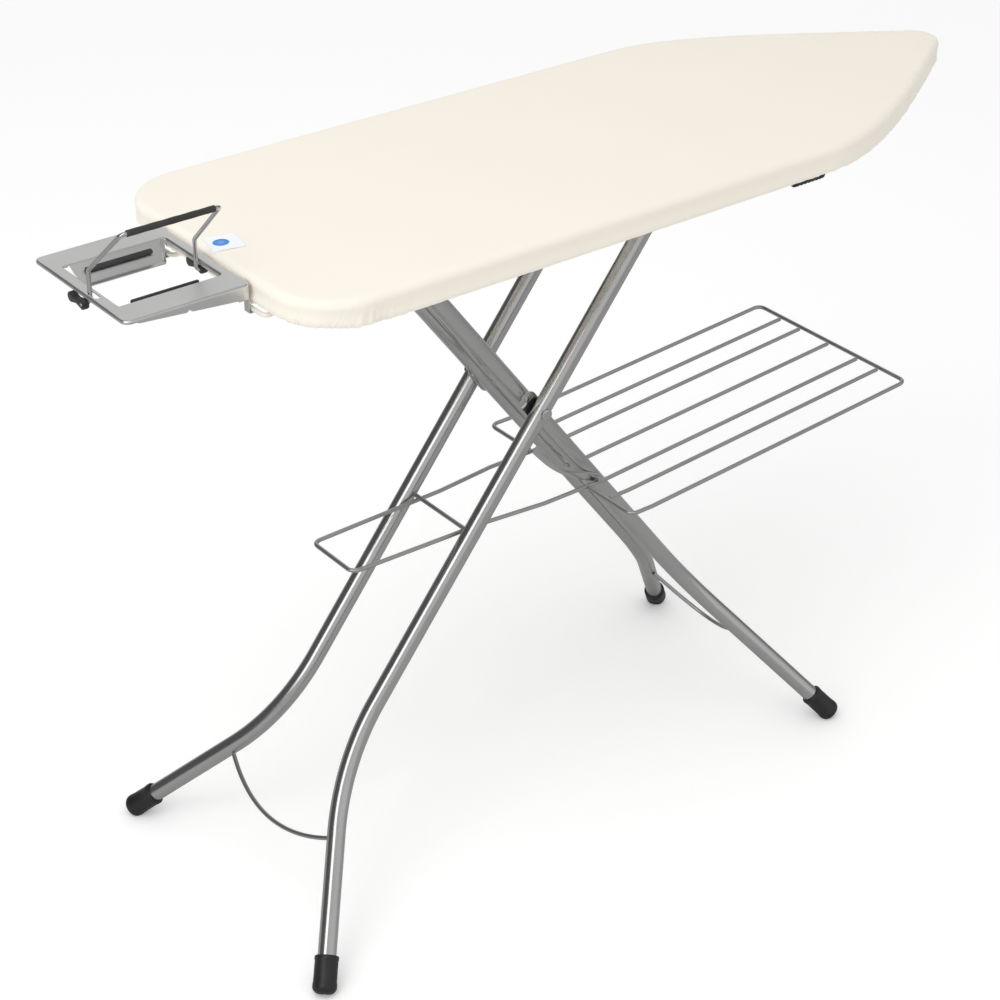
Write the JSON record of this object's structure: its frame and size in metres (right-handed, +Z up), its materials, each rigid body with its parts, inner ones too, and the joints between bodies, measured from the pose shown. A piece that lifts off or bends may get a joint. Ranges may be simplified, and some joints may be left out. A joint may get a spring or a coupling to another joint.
{
  "type": "ironing board",
  "caption": "Folding ironing board with a padded cotton top, crossed tubular legs, a wire linen rack and a hooked-on iron rest with a bail.",
  "frame": {"origin": "on the floor under the middle of the whole object, at the middle of its bounding box in X and Y", "axes": "+X from the square end to the nose, +Y to the far side, +Z up"},
  "size_m": [1.425, 0.5122, 1.08],
  "materials": {
    "ecru_cotton": "plain woven cotton, matt",
    "foam": "open-cell foam",
    "label_white": "woven label, matt",
    "cream_paint": "powder coat, satin",
    "satin_steel": "satin, polished along the tube",
    "wire_steel": "drawn wire, satin",
    "black_rubber": "matt rubber",
    "black_plastic": "moulded, fine grain"
  },
  "bodies": {
    "board": {"cover": "ecru_cotton", "foam_pad": "foam", "ironing_plate": "cream_paint", "rim_tube": "cream_paint", "carrier_rib": "cream_paint", "hinge_rib": "cream_paint", "track_rib_start": "cream_paint", "track_rib_end": "cream_paint", "care_label": "label_white", "hinge_bracket_near": "cream_paint", "hinge_bracket_far": "cream_paint", "track_near": "cream_paint", "track_far": "cream_paint", "carrier_loop_near": "cream_paint", "carrier_loop_far": "cream_paint", "rest_hook_near": "satin_steel", "rest_hook_far": "satin_steel", "rest_frame": "satin_steel", "rest_rubber_near": "black_rubber", "rest_rubber_far": "black_rubber", "rest_clip_end": "black_plastic", "rest_clip_board": "black_plastic"},
    "inner_frame": {"inner_leg_near": "satin_steel", "inner_leg_far": "satin_steel", "inner_foot_near": "black_rubber", "inner_foot_far": "black_rubber", "inner_top_axle": "satin_steel", "inner_lower_brace": "wire_steel", "hub_plate_near": "satin_steel", "hub_plate_far": "satin_steel"},
    "outer_frame": {"outer_leg_near": "satin_steel", "outer_leg_far": "satin_steel", "outer_foot_near": "black_rubber", "outer_foot_far": "black_rubber", "outer_top_axle": "satin_steel", "glide_near": "black_plastic", "glide_far": "black_plastic", "cross_brace": "wire_steel", "outer_lower_brace": "wire_steel", "hub_bolt_near": "satin_steel", "hub_bolt_far": "satin_steel", "hub_washer_near": "black_plastic", "hub_washer_far": "black_plastic"},
    "rack": {"rack_frame": "wire_steel", "rack_loop": "wire_steel", "rack_wire_near": "wire_steel", "rack_wire_middle": "wire_steel", "rack_wire_far": "wire_steel", "rack_hinge_rod": "wire_steel"},
    "strap": {"safety_strap": "satin_steel"},
    "lever": {"lever_rod": "wire_steel", "catch": "satin_steel", "lever_grip": "black_plastic"},
    "bail": {"bail_wire": "satin_steel", "bail_sleeve": "black_rubber"}
  },
  "joints": [
    {"name": "leg_fold", "type": "hinge", "parent": "board", "child": "inner_frame", "pos_m": [-0.29132, 0, 0.92515], "axis": [0, -1, 0], "range_deg": [0, 46]},
    {"name": "leg_cross", "type": "hinge", "parent": "inner_frame", "child": "outer_frame", "pos_m": [-0.0735, 0, 0.6423], "axis": [0, -1, 0], "range_deg": [-92, 0]},
    {"name": "rack_fold", "type": "hinge", "parent": "inner_frame", "child": "rack", "pos_m": [0.04182, 0, 0.49256], "axis": [0, -1, 0], "range_deg": [-46, 0]},
    {"name": "strap_swing", "type": "hinge", "parent": "rack", "child": "strap", "pos_m": [0.04182, 0, 0.49256], "axis": [0, 1, 0], "range_deg": [-15, 0]},
    {"name": "lever_turn", "type": "hinge", "parent": "board", "child": "lever", "pos_m": [0.2265, 0, 0.949], "axis": [0, -1, 0], "range_deg": [0, 8]},
    {"name": "bail_fold", "type": "hinge", "parent": "board", "child": "bail", "pos_m": [-0.62325, -0.014, 0.968], "axis": [1, 0, 0], "range_deg": [0, 45]}
  ],
  "couplings": [
    {"joint": "leg_cross", "follows": "leg_fold", "ratio": -2},
    {"joint": "rack_fold", "follows": "leg_fold", "ratio": -1}
  ]
}
